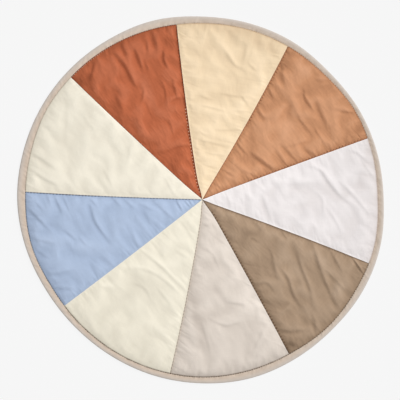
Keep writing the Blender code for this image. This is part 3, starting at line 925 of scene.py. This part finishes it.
def make_binding():
    """The section carried round the rim: share of the width outwards, height up, plus puckers."""
    section = closed_section()
    turns = np.linspace(0.0, 360.0, BINDING_STATIONS, endpoint=False)
    inner = rim_steps(turns, 0)[:, None] * STEP
    width = rim_steps(turns, 1)[:, None] * STEP - inner
    share = section[None, :, 0]
    arc = np.radians(turns)[:, None] * BINDING_RADIUS
    slant = arc + share * 0.009
    pucker = lattice_noise(slant / 0.0065, share * 1.5, 71) + 0.7 * lattice_noise(slant / 0.018, share, 72)
    degrees = turns[:, None] + 0 * share
    join = np.radians(degrees - JOIN_TURN - JOIN_SLANT * share) * BINDING_RADIUS / JOIN_HALF_WIDTH
    join = np.exp(-join**2)
    tone = np.zeros(degrees.shape)
    for change, middle, half_length, power in BINDING_PAINTED_LIGHT:
        off = np.mod(degrees - middle + 180.0, 360.0) - 180.0
        tone = tone + change * np.exp(-((off / half_length) ** power))
    # Painted light and shade against the lamp's own shading: on the side of the mat away from the lamp the
    # inner part of the strip darker and the outer part brighter, and the other way round on the side towards
    # it.
    away = np.cos(np.radians(degrees - LIGHT_TURN - 180.0))
    tone = tone + away * np.clip(2.0 * share - 0.9, -0.7, 1.0) * 0.12
    tone = tone + 0.05 * lattice_noise(arc / 0.025, share * 1.2, 75)
    lift = np.clip(section[None, :, 1] / BINDING_TOP, 0.0, 1.0)
    hem = np.exp(-((share / 0.35) ** 2))
    height = section[None, :, 1] * (1 + 0.05 * lattice_noise(arc / 0.05, share * 0, 73))
    height = height + lift * (pucker * PUCKER_HEIGHT * (0.6 + hem) - JOIN_DEPTH * join)
    reach = inner + share * width
    x = HUB[0] + reach * np.cos(np.radians(turns))[:, None]
    y = HUB[1] + reach * np.sin(np.radians(turns))[:, None]
    points = np.column_stack([x.ravel(), y.ravel(), height.ravel()])
    faces = grid_quads(BINDING_STATIONS, len(section), True, True)[:, [0, 3, 2, 1]]
    # Painted shade: the outer half of the strip, which rolls away from the light, mixes towards the
    # binding's shade colour.
    outer_half = np.clip((share - 0.35) / 0.5, 0.0, 1.0) * np.ones_like(reach)
    cloth = cotton("binding cotton", BINDING_COLOUR, BINDING_SHADE, 45.0)
    piece = new_mesh_object("bound_edge", points, faces.tolist(), [cloth])
    # Painted light and shade of the puckers, round the binding, against the lamp and along the join, with
    # the strip's own uneven tone, as a share of brightness.
    set_attribute(piece, "painted_light", (pucker * PUCKER_PAINTED_LIGHT + tone - JOIN_PAINTED_SHADE * join).ravel())
    set_attribute(piece, "painted_shade", outer_half.ravel())
    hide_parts("binding")
    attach(piece, "root")
    return piece


bound_edge = make_binding()

# The threads: a running stitch beside five seams and all round in the ditch of the binding, spun cotton.
# A stitch is a small spindle that lies on the cloth, with its two ends drawn into it; each colour is one
# joined mesh.
STITCH_LENGTH = 0.0046
STITCH_SIDES = 5
STITCH_RINGS = 4
RIM_PITCH = 0.0066


def spindles(middles, directions, heights, thickness):
    """Spindles along directions: rings of points whose radius is the root of a cosine, and whose ends
    sink by the fourth power of the way from the middle."""
    along = np.linspace(-0.5, 0.5, STITCH_RINGS)
    round_turns = np.linspace(0.0, 2 * math.pi, STITCH_SIDES, endpoint=False)
    radius = thickness * np.sqrt(np.maximum(np.cos(math.pi * along), 0.02))
    sink = thickness * (2 * along) ** 4 * 1.4
    side = np.stack([-directions[:, 1], directions[:, 0]], axis=1)
    offset_side = radius[:, None] * np.cos(round_turns)[None, :]
    offset_up = radius[:, None] * np.sin(round_turns)[None, :] * 0.8 - sink[:, None]
    x, y = (
        middles[:, axis, None, None] + directions[:, axis, None, None] * along[None, :, None] * STITCH_LENGTH
        + side[:, axis, None, None] * offset_side[None]
        for axis in (0, 1)
    )
    z = heights[:, None, None] + offset_up[None] + np.zeros_like(x)
    points = np.stack([x, y, z], axis=-1).reshape(-1, 3)
    base = np.arange(len(middles)) * STITCH_RINGS * STITCH_SIDES
    quads = grid_quads(STITCH_RINGS, STITCH_SIDES, corners_meet=True)
    faces = (quads[None] + base[:, None, None]).reshape(-1, 4).tolist()
    first_cap = np.arange(STITCH_SIDES)
    last_cap = (STITCH_RINGS - 1) * STITCH_SIDES + first_cap[::-1]
    for cap in (first_cap, last_cap):
        faces += (cap[None] + base[:, None]).tolist()
    return points, faces


def thread_material(name, colour):
    """Spun cotton thread: a soft sheen over one plain colour with fine twist in the bump."""
    material, nodes, links, shader = new_material(name)
    set_inputs(shader, {"Roughness": 0.7, "Sheen Weight": 0.2})
    place = nodes.new("ShaderNodeTexCoord")
    noise = nodes.new("ShaderNodeTexNoise")
    noise.inputs["Scale"].default_value = 900.0
    links.new(place.outputs["Object"], noise.inputs["Vector"])
    ramp = nodes.new("ShaderNodeMix")
    ramp.data_type = "RGBA"
    set_inputs(ramp, {"A": linear(tuple(level * 0.88 for level in colour)), "B": linear(colour)})
    links.new(noise.outputs["Fac"], ramp.inputs["Factor"])
    links.new(ramp.outputs["Result"], shader.inputs["Base Color"])
    twist = nodes.new("ShaderNodeBump")
    set_inputs(twist, {"Strength": 0.3, "Distance": 0.0002})
    links.new(noise.outputs["Fac"], twist.inputs["Height"])
    links.new(twist.outputs["Normal"], shader.inputs["Normal"])
    return material


def seam_stitches(rows):
    """Middles, directions and heights of the stitches along the seams of the rows."""
    middles, directions, heights = [], [], []
    for index, seam, distance, start, end in rows:
        angle = seam_after(index) if seam else SEAMS[index]
        inward = ray(angle - 90.0) if seam else ray(angle + 90.0)
        reach = np.arange(start * STEP, end * STEP, STITCH_PITCH)
        place = seam_points(index + seam, reach) + inward * distance
        height, _relief = panel_top(index, place[:, 0], place[:, 1])
        middles.append(place)
        directions.append(np.tile(ray(angle), (len(reach), 1)))
        heights.append(height)
    return np.vstack(middles), np.vstack(directions), np.concatenate(heights)


def rim_stitches():
    """The same round the binding, where the needle runs in the ditch on the panels' side."""
    turns = np.arange(0.0, 360.0, math.degrees(RIM_PITCH / RIM_RADIUS))
    distance = 0.0007 + 0.0020 * np.exp(-(((turns - 130.0) / 9.0) ** 4))
    reach = rim_steps(turns, 0) * STEP - distance
    rays = ray(turns)
    place = HUB + rays * reach[:, None]
    owner = (np.searchsorted(SEAMS, turns, side="right") - 1) % len(SEAMS)
    heights = np.zeros(len(turns))
    for index in range(len(SEAMS)):
        mine = owner == index
        heights[mine] = panel_top(index, place[mine, 0], place[mine, 1])[0]
    return place, np.stack([-rays[:, 1], rays[:, 0]], axis=1), heights


for thread_name, stitches, thickness, thread_colour in (
    ("brown_thread", seam_stitches(BROWN_SEAMS), 0.0006, (108, 70, 46)),
    ("light_thread", seam_stitches(LIGHT_SEAMS), 0.0009, (244, 226, 198)),
    ("rim_thread", rim_stitches(), 0.0006, (230, 216, 196)),
):
    thread_cotton = thread_material(thread_name, thread_colour)
    thread = new_mesh_object(thread_name, *spindles(*stitches, thickness), [thread_cotton])
    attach(thread, "root")

# The floor: a plain pale studio floor, which keeps only a faint shadow under the mat.
# Part of its brightness is its own, so that it stays as even as the ground in the photograph.
FLOOR_BRIGHTNESS = 0.93
FLOOR_GLOW = 0.845
FLOOR_HALF = 30.0
FLOOR_DROP = 0.0003


def make_floor():
    """A large square on Z = 0, just under the mat."""
    low = -FLOOR_DROP
    half = FLOOR_HALF
    corners = np.array([(-half, -half, low), (half, -half, low), (half, half, low), (-half, half, low)])
    material, _nodes, _links, shader = new_material("pale floor")
    set_inputs(shader, {
        "Base Color": (FLOOR_BRIGHTNESS - FLOOR_GLOW,) * 3 + (1.0,),
        "Roughness": 1.0,
        "Specular IOR Level": 0.0,
        "Emission Color": (1.0, 1.0, 1.0, 1.0),
        "Emission Strength": FLOOR_GLOW,
    })
    floor = new_mesh_object("floor", corners, [(0, 1, 2, 3)], [material])


make_floor()

# The light: a large soft lamp on the upper right, low enough to pick out the folds, a soft box right
# above the mat, and an even fill from all round.
FILL_STRENGTH = 0.38
LAMP_STRENGTH = 0.38
LAMP_HEIGHT_ANGLE = 32.0
LAMP_SOFTNESS = 40.0
BOX_STRENGTH = 0.30
BOX_HEIGHT = 1.05
BOX_SIDE = 0.6


def make_light():
    """Sun lamp from its side and height, a square lamp overhead, and the world's fill."""
    world = bpy.data.worlds.new("studio fill")
    bpy.context.scene.world = world
    world.use_nodes = True
    background = world.node_tree.nodes["Background"]
    set_inputs(background, {"Color": (1.0, 1.0, 1.0, 1.0), "Strength": FILL_STRENGTH})
    lamp = bpy.data.lights.new("window", "SUN")
    lamp.energy = LAMP_STRENGTH * math.pi / math.sin(math.radians(LAMP_HEIGHT_ANGLE))
    lamp.angle = math.radians(LAMP_SOFTNESS)
    window = new_object("window", lamp)
    window.rotation_euler = (math.radians(90.0 - LAMP_HEIGHT_ANGLE), 0.0, math.radians(LIGHT_TURN + 90.0))
    box = bpy.data.lights.new("soft box", "AREA")
    box.size = BOX_SIDE
    box.energy = BOX_STRENGTH * math.pi**2 * BOX_HEIGHT**2
    overhead_box = new_object("soft box", box)
    overhead_box.location = (0.0, 0.0, BOX_HEIGHT)
    overhead_box.visible_camera = False


make_light()

# The camera: straight above the middle of the layout square, which fills its picture, and far enough
# away that the mat shows no slant.
CAMERA_HEIGHT = 4.0
LAYOUT_SIDE = 400
SENSOR = 36.0


def make_camera():
    """A long lens that looks down, with +Y at the top of the picture."""
    data = bpy.data.cameras.new("overhead")
    data.sensor_width = SENSOR
    data.lens = SENSOR * (CAMERA_HEIGHT - SEAM_HEIGHT) / (LAYOUT_SIDE * STEP)
    data.clip_end = 100.0
    camera = new_object("overhead", data)
    camera.location = (*from_layout((LAYOUT_SIDE / 2, LAYOUT_SIDE / 2)), CAMERA_HEIGHT)
    bpy.context.scene.camera = camera


make_camera()
bpy.context.scene.view_settings.view_transform = "Standard"
